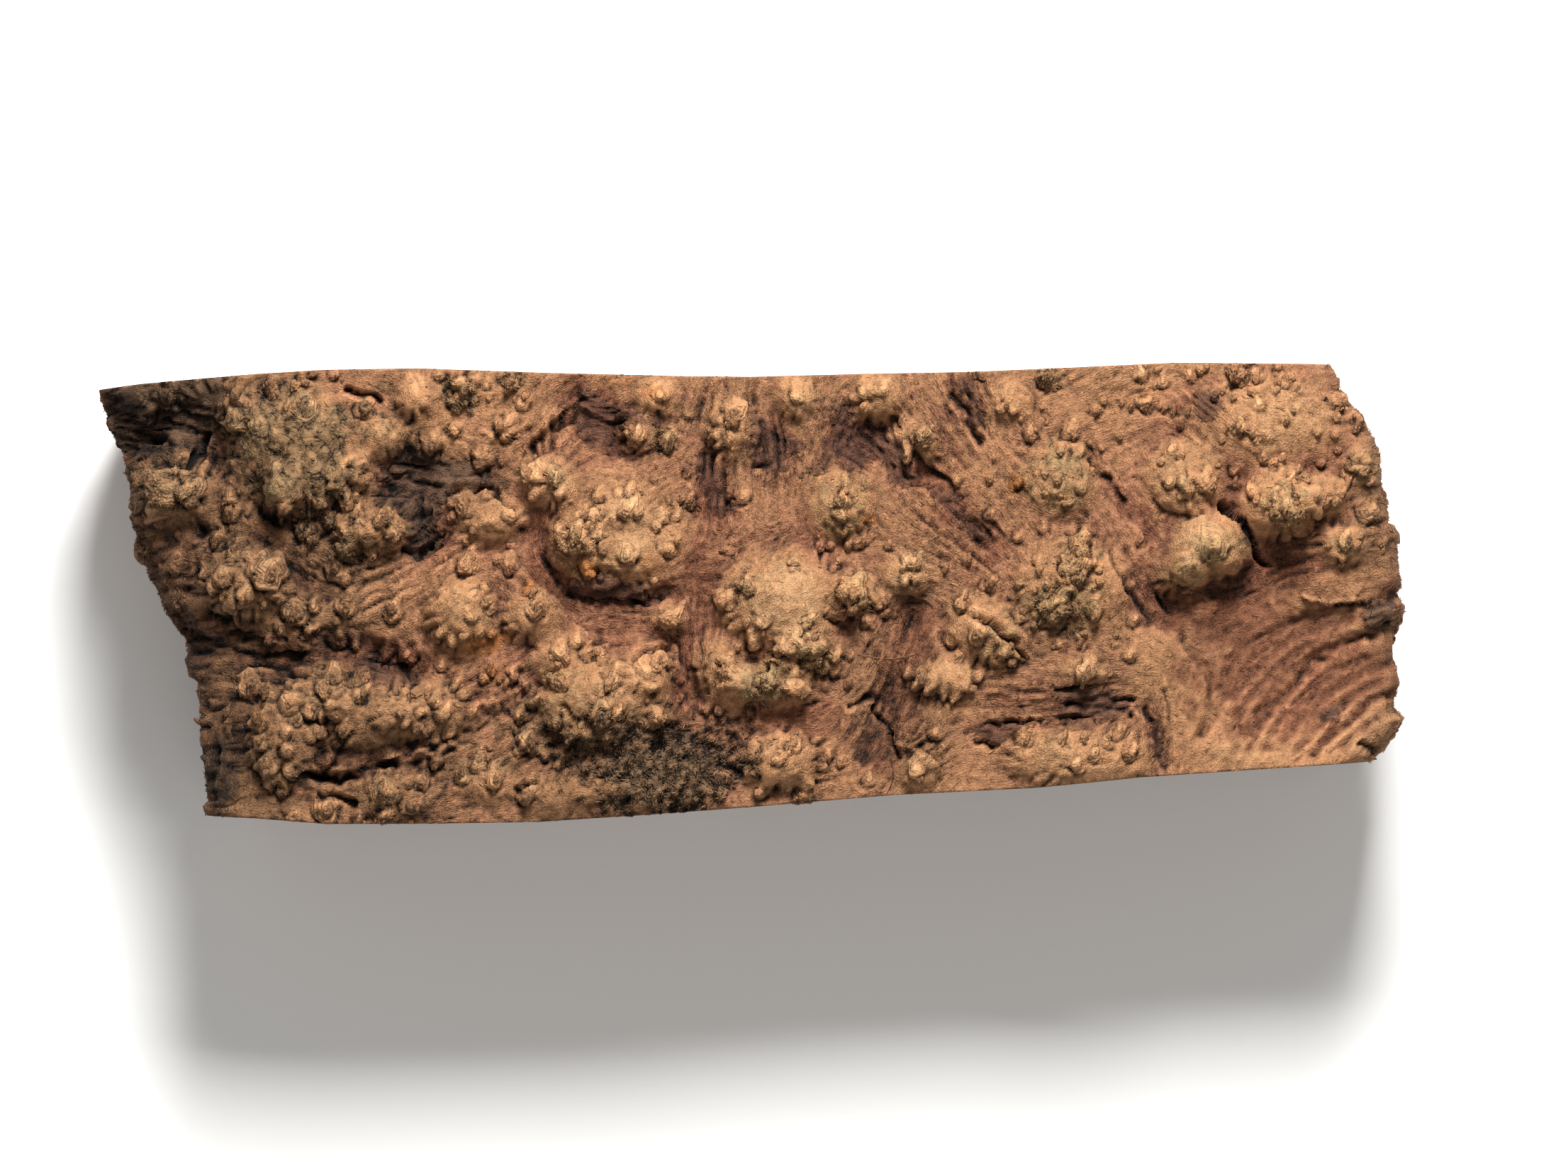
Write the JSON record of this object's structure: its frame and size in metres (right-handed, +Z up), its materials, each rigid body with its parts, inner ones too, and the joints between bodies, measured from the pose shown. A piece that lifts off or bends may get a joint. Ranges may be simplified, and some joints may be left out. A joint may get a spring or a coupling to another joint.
{
  "type": "briar block",
  "caption": "Length of briar root burl with its natural knobbly rind on top, sawn long sides, ragged natural ends and a flat sawn back to rest on.",
  "frame": {"origin": "middle of the bounding box on the flat sawn back, which the block rests on", "axes": "+X along the block, +Y across it, +Z up from the sawn back to the natural rind"},
  "size_m": [0.1848, 0.0652, 0.0496],
  "materials": {
    "burl_wood": "rough natural rind, felted with short torn fibre; plain sawn wood on the sides and back"
  },
  "bodies": {
    "root": {"burl_block": "burl_wood"}
  },
  "joints": []
}
